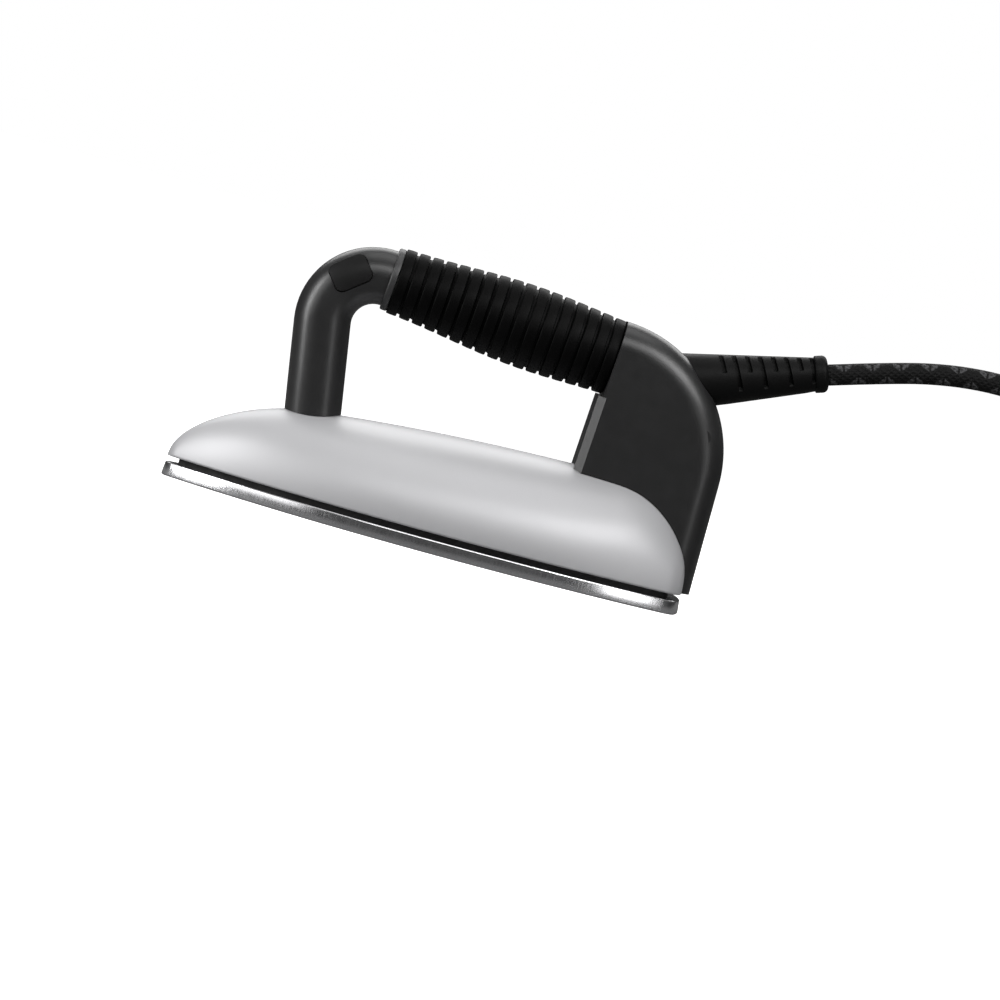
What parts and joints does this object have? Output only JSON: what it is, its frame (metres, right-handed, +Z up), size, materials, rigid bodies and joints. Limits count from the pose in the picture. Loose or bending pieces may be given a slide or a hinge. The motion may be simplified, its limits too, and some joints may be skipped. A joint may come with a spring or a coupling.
{
  "type": "clothes iron",
  "caption": "Dry clothes iron with a pointed polished sole, a crowned silver cover, a tubular front leg with a thumb button, a ribbed grip and a braided cord.",
  "frame": {"origin": "middle of the box of the iron itself, without its cord, on the surface that the sole rests on", "axes": "+X from the nose to the heel and the cord, +Y to the iron's right, away from the thumb button, +Z up"},
  "size_m": [0.5875, 0.1316, 0.1359],
  "materials": {
    "polished_steel": "polished",
    "black_gasket": "matte",
    "cast_aluminium": "cast",
    "element_steel": "satin",
    "white_ceramic": "matte",
    "brass": "satin",
    "zinc_steel": "satin",
    "shield_sheet": "satin",
    "thermostat_shell": "satin",
    "fuse_case": "satin",
    "silver_cover": "satin",
    "charcoal_plastic": "satin",
    "button_plastic": "satin",
    "switch_plastic": "satin",
    "grey_plastic": "satin",
    "core_plastic": "matte",
    "grip_rubber": "matte",
    "relief_rubber": "matte",
    "wire_plastic": "gloss",
    "earth_plastic": "gloss",
    "braided_cord": "braided",
    "tie_fabric": "woven",
    "plug_rubber": "matte",
    "pin_metal": "polished"
  },
  "bodies": {
    "root": {"sole_plate": "polished_steel", "sole_gasket": "black_gasket", "heater_casting": "cast_aluminium", "heating_element": "element_steel", "terminal_beads": "white_ceramic", "terminal_block": "white_ceramic", "element_pins": "brass", "thermostat_tabs": "brass", "switch_terminals": "brass", "terminal_screws": "brass", "studs": "zinc_steel", "posts": "zinc_steel", "shield_washers": "zinc_steel", "thermostat_screws": "zinc_steel", "fuse_clip": "zinc_steel", "earth_screw": "zinc_steel", "cover_screws": "zinc_steel", "support_screws": "zinc_steel", "clamp_screws": "zinc_steel", "button_spring": "zinc_steel", "switch_bracket": "zinc_steel", "heat_shield": "shield_sheet", "thermostat": "thermostat_shell", "thermal_fuse": "fuse_case", "cover": "silver_cover", "front_leg": "charcoal_plastic", "rear_support_left": "charcoal_plastic", "rear_support_right": "charcoal_plastic", "switch_body": "switch_plastic", "collar_ring": "grey_plastic", "grip_core": "core_plastic", "cord_clamp": "core_plastic", "grip_sleeve": "grip_rubber", "strain_relief": "relief_rubber", "cord_cores": "wire_plastic", "heater_leads": "wire_plastic", "switch_leads": "wire_plastic", "earth_lead": "earth_plastic", "cord": "braided_cord", "cord_coil": "braided_cord", "cord_end": "braided_cord", "coil_tie": "tie_fabric", "plug_body": "plug_rubber", "plug_pins": "pin_metal", "plug_earth_clips": "pin_metal"},
    "button": {"thumb_button": "button_plastic", "switch_plunger": "switch_plastic"}
  },
  "joints": [
    {"name": "button_press", "type": "slide", "parent": "root", "child": "button", "axis": [0.178, 0.9563, -0.232], "range_m": [0, 0.0016], "stiffness_N_per_m": 1500, "deforming": ["button_spring"]}
  ]
}
